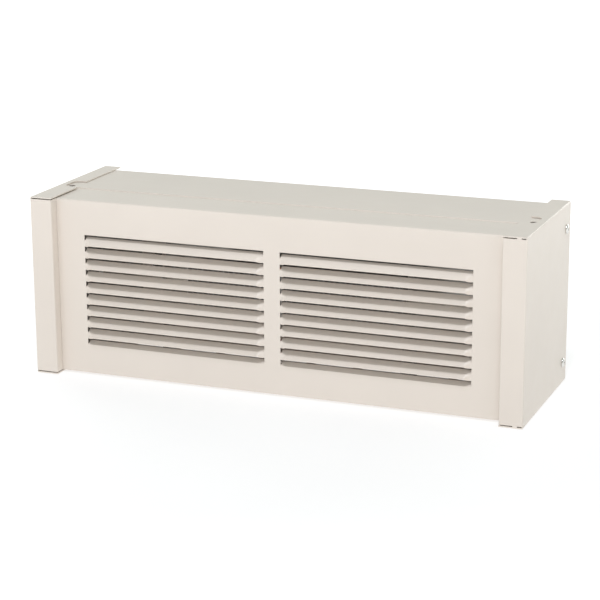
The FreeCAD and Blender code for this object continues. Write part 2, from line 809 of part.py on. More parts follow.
def element_support(label, side):
    """Bracket from the bottom of the pan that carries the sheath, its foot away from the fins."""
    wall = "dims.support_" + label
    inner = wall + " + dims.support_sheet"
    floor = "(dims.cover_bottom + 2 * dims.body_sheet)"
    crown = "(dims.element_height + dims.support_above)"
    back = "(%s + dims.support_half_depth)" % ELEMENT[0]
    front = "(%s - dims.support_half_depth)" % ELEMENT[0]
    foot_top = floor + " + dims.support_sheet"
    name = label + "_support"
    web = side_box(name + "_web", side, wall, inner, (front, floor), (back, crown))
    foot = side_box(name + "_foot", side, wall, wall + " + 13", (front, floor), (back, foot_top))
    rib_front = back + " - dims.support_sheet"
    rib = side_box(name + "_rib", side, wall, wall + " + 6", (rib_front, floor), (back, crown))
    bracket = fuse(name + "_sheet", [web, foot, rib])
    start = ("%d * %s - 3" % (side, wall),) + ELEMENT
    hole = cylinder(name + "_hole", "x", "dims.sheath_radius + 0.1", "6", start)
    return cut(label + "_element_support", bracket, [hole])


def heat_shield():
    """Bright sheet that stands off the back pan behind the element."""
    back = depth("pan_back_face") + " - dims.body_sheet"
    face = "(%s - dims.shield_gap)" % back
    half = "dims.shield_half_length"
    low = "dims.shield_low"
    high = "dims.shield_high"
    plate = box("shield_plate", ("-" + half, face, low), (half, face + " + dims.shield_sheet", high))
    upper = box("shield_upper", ("-" + half, face, high + " - dims.shield_sheet"), (half, back, high))
    lower = box("shield_lower", ("-" + half, face, low), (half, back, low + " + dims.shield_sheet"))
    return fuse("heat_shield", [plate, upper, lower])


# ---------------------------------------------------------------- high limit

SWITCH_WALL = "(dims.overall_width / 2 - dims.partition_inset + dims.body_sheet)"
SWITCH_MIDDLE = SWITCH_WALL + " + dims.switch_width / 2"
SWITCH_BOTTOM = CAPILLARY[1] + " - dims.switch_below"
SWITCH_TERMINALS = (CAPILLARY[0] + " - 9", CAPILLARY[0] + " + 7")
BLADE_END = SWITCH_BOTTOM + " - dims.switch_blade_length"


def limit_capillary():
    """Sensing tube above the fins, ending in the limit switch."""
    length = SWITCH_WALL + " + dims.capillary_left_reach + dims.capillary_socket"
    start = ("-dims.capillary_left_reach",) + CAPILLARY
    return cylinder("limit_capillary", "x", "dims.capillary_radius", length, start)


def capillary_clips():
    """Small arms on the supports that hold the sensing tube."""
    clips = []
    for side_name, side in SIDES.items():
        place = "(dims.support_%s + dims.support_sheet)" % side_name
        arm = side_box(
            side_name + "_clip_arm", side, place, place + " + 3",
            (CAPILLARY[0] + " - 3", "dims.element_height + 9"), (ELEMENT[0] + " - 12", CAPILLARY[1] + " + 3"),
        )
        start = ("%d * %s - 5" % (side, place),) + CAPILLARY
        bore = cylinder(side_name + "_clip_bore", "x", "dims.capillary_radius", "10", start)
        clips.append(cut(side_name + "_tube_clip", arm, [bore]))
    return group("capillary_clips", clips)


def capillary_grommet():
    """Sleeve in the right partition round the sensing tube."""
    wall = "(dims.overall_width / 2 - dims.partition_inset)"
    radius = "dims.capillary_grommet_radius"
    rim_start = (wall + " - dims.grommet_rim_width",) + CAPILLARY
    plug = cylinder("grommet_plug", "x", radius, "dims.body_sheet", (wall,) + CAPILLARY)
    rim = cylinder("grommet_rim", "x", radius + " + 1.5", "dims.grommet_rim_width", rim_start)
    ring = fuse("grommet_ring", [plug, rim])
    bore = cylinder("grommet_bore", "x", "dims.capillary_radius", "8", (wall + " - 3",) + CAPILLARY)
    return cut("capillary_grommet", ring, [bore])


def limit_switch_body():
    """Moulded switch on the right partition, with a socket for the sensing tube."""
    case = box(
        "switch_case",
        (SWITCH_WALL, CAPILLARY[0] + " - dims.switch_before", SWITCH_BOTTOM),
        (
            SWITCH_WALL + " + dims.switch_width",
            CAPILLARY[0] + " + dims.switch_behind",
            CAPILLARY[1] + " + dims.switch_above",
        ),
    )
    start = (SWITCH_WALL,) + CAPILLARY
    socket = cylinder("switch_socket", "x", "dims.capillary_radius", "dims.capillary_socket", start)
    return cut("limit_switch_body", case, [socket])


def limit_switch_terminals():
    """Two blades under the limit switch."""
    blades = []
    side_face = SWITCH_MIDDLE + " %s dims.switch_blade_sheet / 2"
    edge = "%s %s dims.switch_blade_half"
    for name, middle in zip(("front", "rear"), SWITCH_TERMINALS):
        blades.append(box(
            "switch_blade_" + name,
            (side_face % "-", edge % (middle, "-"), BLADE_END),
            (side_face % "+", edge % (middle, "+"), SWITCH_BOTTOM),
        ))
    return group("limit_switch_terminals", blades)


# ---------------------------------------------------------------- wiring

NUT_INSET = 18.0
NUT_HEIGHT = 30.0
ELEMENT_NUT_Y = -12.0
LINE_NUT_Y = 32.0


def wire_connectors():
    """Two twist-on connectors, mouth down, where the supply is joined."""
    nuts = []
    for name, y in (("element_nut", ELEMENT_NUT_Y), ("line_nut", LINE_NUT_Y)):
        cone = doc.addObject("Part::Cone", name)
        cone.setExpression("Radius1", "dims.wire_nut_mouth")
        cone.setExpression("Radius2", "dims.wire_nut_crown")
        cone.setExpression("Height", "dims.wire_nut_height")
        cone.setExpression("Placement.Base.x", "%s - dims.overall_width / 2" % NUT_INSET)
        cone.setExpression("Placement.Base.y", str(y))
        cone.setExpression("Placement.Base.z", str(NUT_HEIGHT))
        nuts.append(cone)
    return group("wire_connectors", nuts)


def left_lead_wire():
    """From the left pin down and up into a connector."""
    pin = number("-dims.sheath_length / 2 - dims.pin_reach")
    y = number(ELEMENT[0])
    z = number(ELEMENT[1])
    nut_x = number("%s - dims.overall_width / 2" % NUT_INSET)
    return tube("left_lead_wire", [
        (pin, y, z),
        (pin - 9, y, z),
        (pin - 14, y + 2, z - 9),
        (pin - 14, y + 4, z - 27),
        (pin - 12, y + 3, z - 49),
        (pin - 9, y + 2, z - 69),
        (nut_x - 1, ELEMENT_NUT_Y + 15, NUT_HEIGHT - 17),
        (nut_x, ELEMENT_NUT_Y + 7, NUT_HEIGHT - 21),
        (nut_x, ELEMENT_NUT_Y, NUT_HEIGHT - 17),
        (nut_x, ELEMENT_NUT_Y + 0.1, NUT_HEIGHT - 8),
        (nut_x, ELEMENT_NUT_Y, NUT_HEIGHT - 0.1),
    ], number("dims.wire_radius"))


def right_lead_wire():
    """From the right pin round to the limit switch's rear terminal."""
    pin = number("dims.sheath_length / 2 + dims.pin_reach")
    y = number(ELEMENT[0])
    z = number(ELEMENT[1])
    blade = [number(SWITCH_MIDDLE), number(SWITCH_TERMINALS[1]), number(BLADE_END)]
    return tube("right_lead_wire", [
        (pin, y, z),
        (pin + 8, y, z),
        (pin + 14, y - 4, z - 3),
        (pin + 12, y - 13, z - 6),
        (pin + 3, y - 19, z - 5),
        (blade[0] + 0.6, blade[1], blade[2] - 7),
        (blade[0], blade[1], blade[2] - 0.05),
    ], number("dims.wire_radius"))


def return_wire():
    """From the limit switch's front terminal along the back of the pan to the left."""
    blade = [number(SWITCH_MIDDLE), number(SWITCH_TERMINALS[0]), number(BLADE_END)]
    y = number(RETURN_WIRE[0])
    z = number(RETURN_WIRE[1])
    nut_x = number("%s - dims.overall_width / 2" % NUT_INSET)
    wall = number("dims.overall_width / 2 - dims.partition_inset")
    route = [
        tuple(blade),
        (blade[0], blade[1], blade[2] - 10),
        (blade[0] + 4, blade[1] + 1, blade[2] - 24),
        (blade[0] + 8, blade[1] + 9, blade[2] - 44),
        (blade[0] + 8, blade[1] + 31, blade[2] - 66),
        (blade[0] + 7, blade[1] + 55, blade[2] - 80),
        (blade[0] + 8, y - 11, z),
        (wall + 9, y, z),
    ]
    route += [(wall - 12 - step * (wall - 12) / 4, y - step % 2, z) for step in range(9)]
    route += [
        (-wall - 9, y, z),
        (nut_x + 2, y - 10, z - 1),
        (nut_x, y - 21, z - 5),
        (nut_x, LINE_NUT_Y + 3, NUT_HEIGHT - 18),
        (nut_x, LINE_NUT_Y, NUT_HEIGHT - 10),
        (nut_x, LINE_NUT_Y, NUT_HEIGHT - 0.05),
    ]
    return tube("return_wire", route, number("dims.wire_radius"))


def wire_grommets():
    """Bushes where the return wire passes through the partitions."""
    rings = []
    for side_name, side in SIDES.items():
        wall = "(%d * (dims.overall_width / 2 - dims.partition_inset + dims.body_sheet / 2))" % side
        radius = "dims.wire_grommet_radius"
        rim_middle = wall + " + %d * (dims.body_sheet + dims.grommet_rim_width) / 2" % side
        plug_start = (wall + " - dims.body_sheet / 2",) + RETURN_WIRE
        rim_start = (rim_middle + " - dims.grommet_rim_width / 2",) + RETURN_WIRE
        plug = cylinder(side_name + "_grommet_plug", "x", radius, "dims.body_sheet", plug_start)
        rim_radius = radius + " + 1.5"
        rim = cylinder(side_name + "_grommet_rim", "x", rim_radius, "dims.grommet_rim_width", rim_start)
        ring = fuse(side_name + "_grommet_ring", [plug, rim])
        bore_start = (wall + " - 5",) + RETURN_WIRE
        bore = cylinder(side_name + "_grommet_bore", "x", "dims.wire_radius", "10", bore_start)
        rings.append(cut(side_name + "_grommet", ring, [bore]))
    return group("wire_grommets", rings)


def ground_screws():
    """Bonding screw on each partition's bottom flange."""
    screws = []
    base = "(dims.cover_bottom + 3 * dims.body_sheet)"
    for side_name, side in SIDES.items():
        x = "(%d * (dims.overall_width / 2 - dims.partition_inset + 8))" % side
        y = depth("ground_screw_depth")
        head = cylinder(side_name + "_ground_head", "z", "dims.ground_screw_radius", "2.4", (x, y, base))
        slot = box(
            side_name + "_ground_slot",
            (x + " - 0.5", y + " - 5", base + " + 1.2"), (x + " + 0.5", y + " + 5", base + " + 3"),
        )
        screws.append(cut(side_name + "_ground_screw", head, [slot]))
    return group("ground_screws", screws)


def partition_rivets():
    """Rivets that fix each partition's rear flange to the back pan."""
    rivets = []
    face = "(%s - 2 * dims.body_sheet)" % depth("pan_back_face")
    for side_name, side in SIDES.items():
        x = "(%d * (dims.overall_width / 2 - dims.partition_inset - 7))" % side
        for level in ("low", "high"):
            name = "%s_rivet_%s" % (side_name, level)
            start = (x, face + " - dims.rivet_height", "dims.partition_rivet_" + level)
            rivets.append(cylinder(name, "y", "dims.rivet_radius", "dims.rivet_height", start))
    return group("partition_rivets", rivets)


def support_rivets():
    """Rivets that fix the feet of the element supports to the bottom."""
    rivets = []
    level = "(dims.cover_bottom + 2 * dims.body_sheet + dims.support_sheet)"
    for side_name, side in SIDES.items():
        x = "(%d * (dims.support_%s + 7))" % (side, side_name)
        for row, shift in (("front", "-9"), ("back", "9")):
            name = "%s_foot_rivet_%s" % (side_name, row)
            y = "(%s + %s)" % (ELEMENT[0], shift)
            rivets.append(cylinder(name, "z", "dims.rivet_radius", "dims.rivet_height", (x, y, level)))
    return group("support_rivets", rivets)


# ---------------------------------------------------------------- assembly

def build():
    """Every sub-part, by the name of its node."""
    return {
        "front_cover": front_cover(),
        "back_pan": back_pan(),
        "left_end_cap": end_cap("left_cap", LEFT),
        "right_end_cap": end_cap("right_cap", RIGHT),
        "left_cap_screws": cap_screws("left_cap_screws", LEFT),
        "right_cap_screws": cap_screws("right_cap_screws", RIGHT),
        "left_partition": partition("left_partition", LEFT),
        "right_partition": partition("right_partition", RIGHT),
        "left_cap_bracket": cap_bracket("left_cap_bracket", LEFT),
        "right_cap_bracket": cap_bracket("right_cap_bracket", RIGHT),
        "clip_nuts": clip_nuts(),
        "knockout_discs": knockout_discs(),
        "wall_rails": wall_rails(),
        "heat_shield": heat_shield(),
        "element_sheath": element_sheath(),
        "element_fins": element_fins(),
        "terminal_pins": terminal_pins(),
        "pin_insulators": pin_insulators(),
        "element_bushings": element_bushings(),
        "left_element_support": element_support("left", LEFT),
        "right_element_support": element_support("right", RIGHT),
        "support_rivets": support_rivets(),
        "partition_rivets": partition_rivets(),
        "limit_capillary": limit_capillary(),
        "capillary_clips": capillary_clips(),
        "capillary_grommet": capillary_grommet(),
        "limit_switch_body": limit_switch_body(),
        "limit_switch_terminals": limit_switch_terminals(),
        "left_lead_wire": left_lead_wire(),
        "right_lead_wire": right_lead_wire(),
        "return_wire": return_wire(),
        "wire_connectors": wire_connectors(),
        "wire_grommets": wire_grommets(),
        "ground_screws": ground_screws(),
    }


subparts = build()
for node, subpart in subparts.items():
    subpart.Label = node
doc.recompute()

for item in doc.Objects:
    if "Invalid" in item.State or "Error" in item.State:
        raise RuntimeError("%s is %s" % (item.Name, item.State))
for node, subpart in subparts.items():
    if subpart.Shape.isNull() or not subpart.Shape.isValid():
        raise RuntimeError(node + " has no valid shape")

os.makedirs("parts", exist_ok=True)
for node, subpart in subparts.items():
    subpart.Shape.exportStep("parts/%s.step" % subpart.Label)
    print("%-24s %2d solids %10.1f mm3" % (node, len(subpart.Shape.Solids), subpart.Shape.Volume))
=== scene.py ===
import json
import math

import bmesh
import bpy
from mathutils import Matrix, Vector


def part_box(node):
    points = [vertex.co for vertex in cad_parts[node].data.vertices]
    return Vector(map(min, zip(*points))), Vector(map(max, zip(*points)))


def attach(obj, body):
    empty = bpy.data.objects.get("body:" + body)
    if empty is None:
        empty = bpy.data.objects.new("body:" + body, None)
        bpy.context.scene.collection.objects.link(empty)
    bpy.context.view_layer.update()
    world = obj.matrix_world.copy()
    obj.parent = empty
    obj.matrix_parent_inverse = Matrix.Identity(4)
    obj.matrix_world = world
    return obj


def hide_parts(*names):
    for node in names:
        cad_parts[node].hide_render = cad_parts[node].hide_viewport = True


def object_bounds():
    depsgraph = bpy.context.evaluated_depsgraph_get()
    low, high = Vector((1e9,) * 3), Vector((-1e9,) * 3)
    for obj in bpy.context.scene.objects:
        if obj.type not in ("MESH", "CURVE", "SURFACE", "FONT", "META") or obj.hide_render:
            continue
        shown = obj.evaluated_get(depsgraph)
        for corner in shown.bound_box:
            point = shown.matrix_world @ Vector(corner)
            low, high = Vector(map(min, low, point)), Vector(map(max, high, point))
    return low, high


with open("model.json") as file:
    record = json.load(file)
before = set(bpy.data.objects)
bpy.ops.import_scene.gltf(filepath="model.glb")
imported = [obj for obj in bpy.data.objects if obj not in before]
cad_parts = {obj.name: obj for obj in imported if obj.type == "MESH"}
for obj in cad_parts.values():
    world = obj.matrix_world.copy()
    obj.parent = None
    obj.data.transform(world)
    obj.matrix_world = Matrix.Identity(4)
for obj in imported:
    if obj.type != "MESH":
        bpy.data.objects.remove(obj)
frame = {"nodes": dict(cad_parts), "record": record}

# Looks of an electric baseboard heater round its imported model. Lengths are in metres.

cad_low, cad_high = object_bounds()
nodes = frame["nodes"]

MM = 0.001
Y_AXIS = Vector((0, 1, 0))


def linked(name, data):
    """A new object in the scene that shows the given data."""
    thing = bpy.data.objects.new(name, data)
    bpy.context.scene.collection.objects.link(thing)
    return thing


def mesh_from(shape, name):
    """A mesh with a bmesh shape's faces; the shape is freed."""
    mesh = bpy.data.meshes.new(name)
    shape.to_mesh(mesh)
    shape.free()
    return mesh


# ---------------------------------------------------------------- camera and stage

CAMERA_AZIMUTH = math.radians(21.466)
CAMERA_ELEVATION = math.radians(15.472)
CAMERA_ROLL = math.radians(-0.342)
CAMERA_LENS = 115.4
CAMERA_SENSOR = 36
CAMERA_SHIFT_RIGHT = -0.0016
CAMERA_SHIFT_UP = 0.01264
CAMERA_DISTANCE = 2.0447


def make_camera():
    """A long lens to the right of the heater and above it, looking slightly down."""
    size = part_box("left_end_cap")[1].z
    centre = Vector((0, 0, size / 2))
    flat = math.cos(CAMERA_ELEVATION)
    forward = Vector((
        -math.sin(CAMERA_AZIMUTH) * flat,
        math.cos(CAMERA_AZIMUTH) * flat,
        -math.sin(CAMERA_ELEVATION),
    ))
    level = Vector((math.cos(CAMERA_AZIMUTH), math.sin(CAMERA_AZIMUTH), 0))
    upright = level.cross(forward)
    right = level * math.cos(CAMERA_ROLL) + upright * math.sin(CAMERA_ROLL)
    up = upright * math.cos(CAMERA_ROLL) - level * math.sin(CAMERA_ROLL)
    camera = linked("camera", bpy.data.cameras.new("camera"))
    camera.data.lens = CAMERA_LENS
    camera.data.sensor_width = CAMERA_SENSOR
    camera.data.clip_start = 0.05
    camera.data.clip_end = 60
    turn = Matrix((right, up, -forward)).transposed().to_4x4()
    offset = right * CAMERA_SHIFT_RIGHT + up * CAMERA_SHIFT_UP + forward * CAMERA_DISTANCE
    camera.matrix_world = Matrix.Translation(centre - offset) @ turn
    bpy.context.scene.camera = camera


# name: azimuth and elevation in degrees, distance, size, power in red, green and blue
LIGHTS = {
    "key": (20, 62, 5.2, 0.9, (111, 112.5, 119)),
    "fill": (-20, 8, 3.2, 1.6, (8.6, 7.4, 8.0)),
    "side": (62, 12, 3.2, 1.2, (1.6, 0.6, 0.4)),
    "back_right": (160, 12, 3.2, 1.6, (18, 18.5, 18)),
    "back_left": (-125, 12, 3.2, 1.6, (34, 35, 34)),
}
LIGHT_TARGET = Vector((0, 0, 0.1))
SURROUNDINGS = (0.43, 0.46, 0.44)
FLOOR_REACH = 14
FLOOR_GAP = 0.4 * MM
# The floor glows evenly round the heater, and more and more from GLOW_NEAR out to GLOW_FAR.
FLOOR_GLOW = 0.59
FAR_GLOW = 2.02
GLOW_NEAR = 0.4
GLOW_FAR = 2.2


def make_light(name, azimuth, elevation, distance, size, power):
    """A square soft light that faces the heater's middle."""
    lamp = bpy.data.lights.new(name, "AREA")
    lamp.size = size
    lamp.energy = max(power)
    lamp.color = [channel / max(power) for channel in power]
    light = linked(name, lamp)
    flat = math.cos(math.radians(elevation))
    away = Vector((
        math.sin(math.radians(azimuth)) * flat,
        -math.cos(math.radians(azimuth)) * flat,
        math.sin(math.radians(elevation)),
    ))
    light.location = LIGHT_TARGET + away * distance
    light.rotation_euler = away.to_track_quat("Z", "Y").to_euler()


def make_stage():
    """Pale floor, even pale surroundings and the soft lights."""
    scene = bpy.context.scene
    scene.view_settings.view_transform = "Standard"
    world = bpy.data.worlds.new("surroundings")
    world.use_nodes = True
    sky = world.node_tree.nodes["Background"]
    sky.inputs["Color"].default_value = SURROUNDINGS + (1,)
    scene.world = world
    for name, settings in LIGHTS.items():
        make_light(name, *settings)
    mesh = bpy.data.meshes.new("floor")
    corners = [(x * FLOOR_REACH, y * FLOOR_REACH, 0) for x, y in ((-1, -1), (1, -1), (1, 1), (-1, 1))]
    mesh.from_pydata(corners, [], [(0, 1, 2, 3)])
    floor = linked("floor", mesh)
    floor.location.z = -FLOOR_GAP
    mesh.materials.append(floor_material())


# ---------------------------------------------------------------- materials

class Shading:
    """A node material with one Principled shader and the object's own coordinates."""

    def __init__(self, name, roughness=0.5, metallic=0.0, specular=0.5):
        self.material = bpy.data.materials.new(name)
        self.material.use_nodes = True
        self.tree = self.material.node_tree
        self.shader = self.tree.nodes["Principled BSDF"]
        self.shader.inputs["Roughness"].default_value = roughness
        self.shader.inputs["Metallic"].default_value = metallic
        self.shader.inputs["Specular IOR Level"].default_value = specular
        self.place = self.tree.nodes.new("ShaderNodeTexCoord").outputs["Object"]
        self.height = None

    def node(self, kind, **values):
        made = self.tree.nodes.new(kind)
        for socket, value in values.items():
            made.inputs[socket].default_value = value
        return made

    def link(self, source, target):
        self.tree.links.new(source, target)

    def stretched(self, scale):
        """The object's coordinates, scaled differently along each axis."""
        mapping = self.node("ShaderNodeMapping", Scale=scale)
        self.link(self.place, mapping.inputs["Vector"])
        return mapping.outputs["Vector"]

    def noise(self, scale, detail=2.0, place=None):
        """Noise from 0 to 1 with so many features a metre."""
        made = self.node("ShaderNodeTexNoise", Scale=scale, Detail=detail, Roughness=0.5)
        self.link(place or self.place, made.inputs["Vector"])
        return made.outputs["Fac"]

    def cells(self, scale):
        """A random number for each cell of a Voronoi pattern."""
        made = self.node("ShaderNodeTexVoronoi", Scale=scale)
        self.link(self.place, made.inputs["Vector"])
        split = self.node("ShaderNodeSeparateColor")
        self.link(made.outputs["Color"], split.inputs["Color"])
        return split.outputs["Red"]

    def ramp(self, source, low, high, start=0.3, end=0.7):
        """A colour that goes from low to high as source goes from start to end."""
        made = self.node("ShaderNodeValToRGB")
        made.color_ramp.elements[0].position = start
        made.color_ramp.elements[0].color = tuple(low) + (1,)
        made.color_ramp.elements[1].position = end
        made.color_ramp.elements[1].color = tuple(high) + (1,)
        self.link(source, made.inputs["Fac"])
        return made.outputs["Color"]

    def remap(self, source, low, high, start=0.3, end=0.7):
        """A number that goes from low to high as source goes from start to end."""
        made = self.node("ShaderNodeMapRange")
        for socket, value in (("From Min", start), ("From Max", end), ("To Min", low), ("To Max", high)):
            made.inputs[socket].default_value = value
        self.link(source, made.inputs["Value"])
        return made.outputs["Result"]

    def colour(self, source):
        self.link(source, self.shader.inputs["Base Color"])

    def rough(self, source):
        self.link(source, self.shader.inputs["Roughness"])

    def bump(self, source, strength, distance):
        """Adds relief of the given depth on top of the relief so far."""
        made = self.node("ShaderNodeBump", Strength=strength, Distance=distance)
        self.link(source, made.inputs["Height"])
        if self.height is not None:
            self.link(self.height, made.inputs["Normal"])
        self.height = made.outputs["Normal"]
        self.link(self.height, self.shader.inputs["Normal"])


def shade_of(colour, factor):
    return tuple(min(1.0, channel * factor) for channel in colour)


def floor_material():
    made = Shading("pale_floor", roughness=0.75, specular=0.2)
    patches = made.noise(3.0, detail=3)
    made.colour(made.ramp(patches, (0.44, 0.44, 0.44), (0.46, 0.46, 0.46)))
    made.shader.inputs["Emission Color"].default_value = (1, 1, 1, 1)
    reach = made.node("ShaderNodeVectorMath")
    reach.operation = "LENGTH"
    made.link(made.place, reach.inputs[0])
    glow = made.remap(reach.outputs["Value"], FLOOR_GLOW, FLOOR_GLOW * FAR_GLOW, GLOW_NEAR, GLOW_FAR)
    made.link(glow, made.shader.inputs["Emission Strength"])
    return made.material


def powder_coat(name, colour, gloss=0.36, peel=0.03):
    """Baked almond paint: a faint orange peel, slow waves of the sheet and slight shifts of tone."""
    made = Shading(name, roughness=gloss, specular=0.5)
    tone = made.noise(14.0, detail=3)
    made.colour(made.ramp(tone, shade_of(colour, 0.985), shade_of(colour, 1.012)))
    made.rough(made.remap(made.noise(60.0, detail=4), gloss - 0.03, gloss + 0.05))
    made.bump(made.noise(9.0, detail=1), 0.12, 0.0016)
    made.bump(made.noise(520.0, detail=2), peel, 0.0004)
    return made.material


def zinc_spangle(name, colour, grain=150.0, metallic=0.85, gloss=0.42):
    """Zinc-coated sheet with flat crystals of slightly different greys."""
    made = Shading(name, roughness=gloss, metallic=metallic)
    spangle = made.cells(grain)
    made.colour(made.ramp(spangle, shade_of(colour, 0.82), shade_of(colour, 1.1), 0.1, 0.9))
    made.rough(made.remap(spangle, gloss - 0.08, gloss + 0.12, 0.1, 0.9))
    made.bump(made.noise(700.0, detail=3), 0.08, 0.0003)
    return made.material


def rolled_metal(name, colour, along, gloss=0.3, metallic=0.95, streak=0.1):
    """Bright metal with fine lines along one axis."""
    made = Shading(name, roughness=gloss, metallic=metallic)
    scale = [1.0, 1.0, 1.0]
    scale["xyz".index(along)] = 0.03
    lines = made.noise(1800.0, detail=3, place=made.stretched(scale))
    made.colour(made.ramp(lines, shade_of(colour, 0.86), shade_of(colour, 1.06)))
    made.rough(made.remap(lines, gloss - 0.06, gloss + 0.1))
    made.bump(lines, streak, 0.0002)
    return made.material


def moulded(name, colour, gloss=0.45, grain=900.0, depth=0.12):
    """Plastic or rubber with a fine moulded grain."""
    made = Shading(name, roughness=gloss)
    tone = made.noise(120.0, detail=3)
    made.colour(made.ramp(tone, shade_of(colour, 0.9), shade_of(colour, 1.08)))
    made.rough(made.remap(made.noise(300.0), gloss - 0.05, gloss + 0.08))
    made.bump(made.noise(grain, detail=2), depth, 0.0002)
    return made.material


ALMOND = (0.80, 0.728, 0.655)


def make_finishes():
    """One material for each of the record's slots."""
    return {
        "cover_paint": powder_coat("almond_cover", ALMOND),
        "pan_paint": powder_coat("almond_pan", shade_of(ALMOND, 0.99)),
        "cap_paint": powder_coat("almond_cap", ALMOND),
        "screw_zinc": rolled_metal("screw_zinc", (0.78, 0.77, 0.74), "x", gloss=0.24, streak=0.05),
        "galvanised": zinc_spangle("galvanised_sheet", (0.50, 0.49, 0.47)),
        "zinc_plate": zinc_spangle("zinc_plate", (0.62, 0.60, 0.53), grain=420.0, gloss=0.3),
        "spring_steel": rolled_metal("spring_steel", (0.12, 0.115, 0.11), "x", gloss=0.42),
        "bright_shield": rolled_metal("bright_shield", (0.55, 0.53, 0.50), "x", gloss=0.3),
        "sheath_steel": rolled_metal("sheath_steel", (0.42, 0.38, 0.33), "x", gloss=0.4),
        "fin_aluminium": rolled_metal("fin_aluminium", (0.70, 0.69, 0.67), "z", gloss=0.36),
        "pin_steel": rolled_metal("pin_steel", (0.62, 0.60, 0.56), "x", gloss=0.3),
        "ceramic": moulded("ceramic", (0.78, 0.76, 0.70), gloss=0.35, grain=500.0),
        "white_nylon": moulded("white_nylon", (0.74, 0.73, 0.69), gloss=0.4),
        "rivet_steel": rolled_metal("rivet_steel", (0.55, 0.55, 0.54), "x", gloss=0.35),
        "copper_tube": rolled_metal("copper_tube", (0.80, 0.42, 0.26), "x", gloss=0.28),
        "grommet_black": moulded("grommet_black", (0.03, 0.03, 0.03), gloss=0.6),
        "switch_black": moulded("switch_black", (0.045, 0.042, 0.04), gloss=0.4),
        "brass_blade": rolled_metal("brass_blade", (0.80, 0.62, 0.30), "z", gloss=0.3),
        "black_insulation": moulded("black_insulation", (0.035, 0.035, 0.037), gloss=0.42),
        "red_insulation": moulded("red_insulation", (0.45, 0.03, 0.025), gloss=0.42),
        "nut_orange": moulded("nut_orange", (0.78, 0.22, 0.03), gloss=0.38),
        "ground_green": moulded("ground_green", (0.03, 0.28, 0.09), gloss=0.3),
    }


# ---------------------------------------------------------------- front cover

COVER_SETBACK = 12 * MM
COVER_FACE = cad_low.y + COVER_SETBACK
SHEET = 0.9 * MM
FOLD_RADIUS = 2 * MM
FOLD_STEPS = 7
LOUVRE_PITCH = 12.7 * MM
LOUVRE_COUNT = 10
LOUVRE_FIRST = 154.5 * MM
LOUVRE_SLIT = 0.3 * MM
LOUVRE_ANGLE = math.radians(50)
PROUD_BLEND = 7.5 * MM
SHEAR_GAP = 0.4 * MM
BANK_INNER = 9 * MM
BANK_OUTER = 214 * MM
STRIP_STEPS = 8
CLIP_HOLE_X = 258.2 * MM
CLIP_HOLE_Y = -15.3 * MM
# Wider than the hole in the pan above it, so that the pan's hole opens onto dark space.
CLIP_HOLE_RADIUS = 5.5 * MM
SHARP_ANGLE = math.radians(32)
WELD_DISTANCE = 1e-6
FLAT_ANGLE = math.radians(0.5)


def smooth_step(value):
    value = max(0.0, min(1.0, value))
    return value * value * (3 - 2 * value)


def louvre_point(inside, centre, across):
    """Place of a point of a strip, at a distance inside its bank's end, across from its centre line.

    The recessed half is sheared off the panel at the end and fully turned; the proud half blends in.
    """
    if across > 0:
        angle = LOUVRE_ANGLE if inside > 0 else 0
    else:
        angle = LOUVRE_ANGLE * smooth_step(inside / PROUD_BLEND)
    return COVER_FACE + across * math.sin(angle), centre + across * math.cos(angle)


def spread(start, end, steps):
    return [start + (end - start) * step / steps for step in range(steps + 1)]


def cover_rows(low, high):
    """Upright section of the cover's outer surface: (y, z, centre of strip, across) and the open rows."""
    half = (LOUVRE_PITCH - LOUVRE_SLIT) / 2
    root = LOUVRE_FIRST - LOUVRE_PITCH * (LOUVRE_COUNT - 0.5)
    rows = [(y, low.z, None, 0) for y in spread(high.y, COVER_FACE + FOLD_RADIUS, 5)]
    for step in range(1, FOLD_STEPS + 1):
        turn = math.pi / 2 * step / FOLD_STEPS
        y = COVER_FACE + FOLD_RADIUS * (1 - math.sin(turn))
        rows.append((y, low.z + FOLD_RADIUS * (1 - math.cos(turn)), None, 0))
    rows += [(COVER_FACE, z, None, 0) for z in spread(low.z + FOLD_RADIUS, root - half / 4, 4)[1:]]
    rows += [(COVER_FACE, root + across, root, across) for across in spread(0, half, STRIP_STEPS // 2)]
    open_rows = [len(rows) - 1]
    for index in reversed(range(LOUVRE_COUNT - 1)):
        centre = LOUVRE_FIRST - LOUVRE_PITCH * (index + 0.5)
        for across in spread(-half, half, STRIP_STEPS):
            rows.append((COVER_FACE, centre + across, centre, across))
        open_rows.append(len(rows) - 1)
    brow = LOUVRE_FIRST + LOUVRE_SLIT / 2
    rows += [(COVER_FACE, z, None, 0) for z in spread(brow, high.z - FOLD_RADIUS, 4)]
    for step in range(1, FOLD_STEPS + 1):
        turn = math.pi / 2 * step / FOLD_STEPS
        y = COVER_FACE + FOLD_RADIUS * (1 - math.cos(turn))
        rows.append((y, high.z - FOLD_RADIUS * (1 - math.sin(turn)), None, 0))
    rows += [(y, high.z, None, 0) for y in spread(COVER_FACE + FOLD_RADIUS, high.y, 6)[1:]]
    return rows, set(open_rows)


def cover_columns(end):
    """X of each column, with its distance inside a louvre bank, or None outside both."""
    span = BANK_OUTER - BANK_INNER
    steps = [0, SHEAR_GAP] + spread(SHEAR_GAP, PROUD_BLEND + 1 * MM, 14)[1:]
    middle = spread(steps[-1], span - steps[-1], 10)[1:-1]
    inside = steps + middle + [span - value for value in reversed(steps)]
    right = [(BANK_INNER + value, min(value, span - value)) for value in inside]
    left = [(-x, depth) for x, depth in reversed(right)]
    edge = [(x, None) for x in spread(BANK_OUTER, end, 5)[1:]]
    mirrored = [(-x, None) for x, _ in reversed(edge)]
    bar = [(x, None) for x in spread(-BANK_INNER, BANK_INNER, 3)[1:-1]]
    return mirrored + left + bar + right + edge


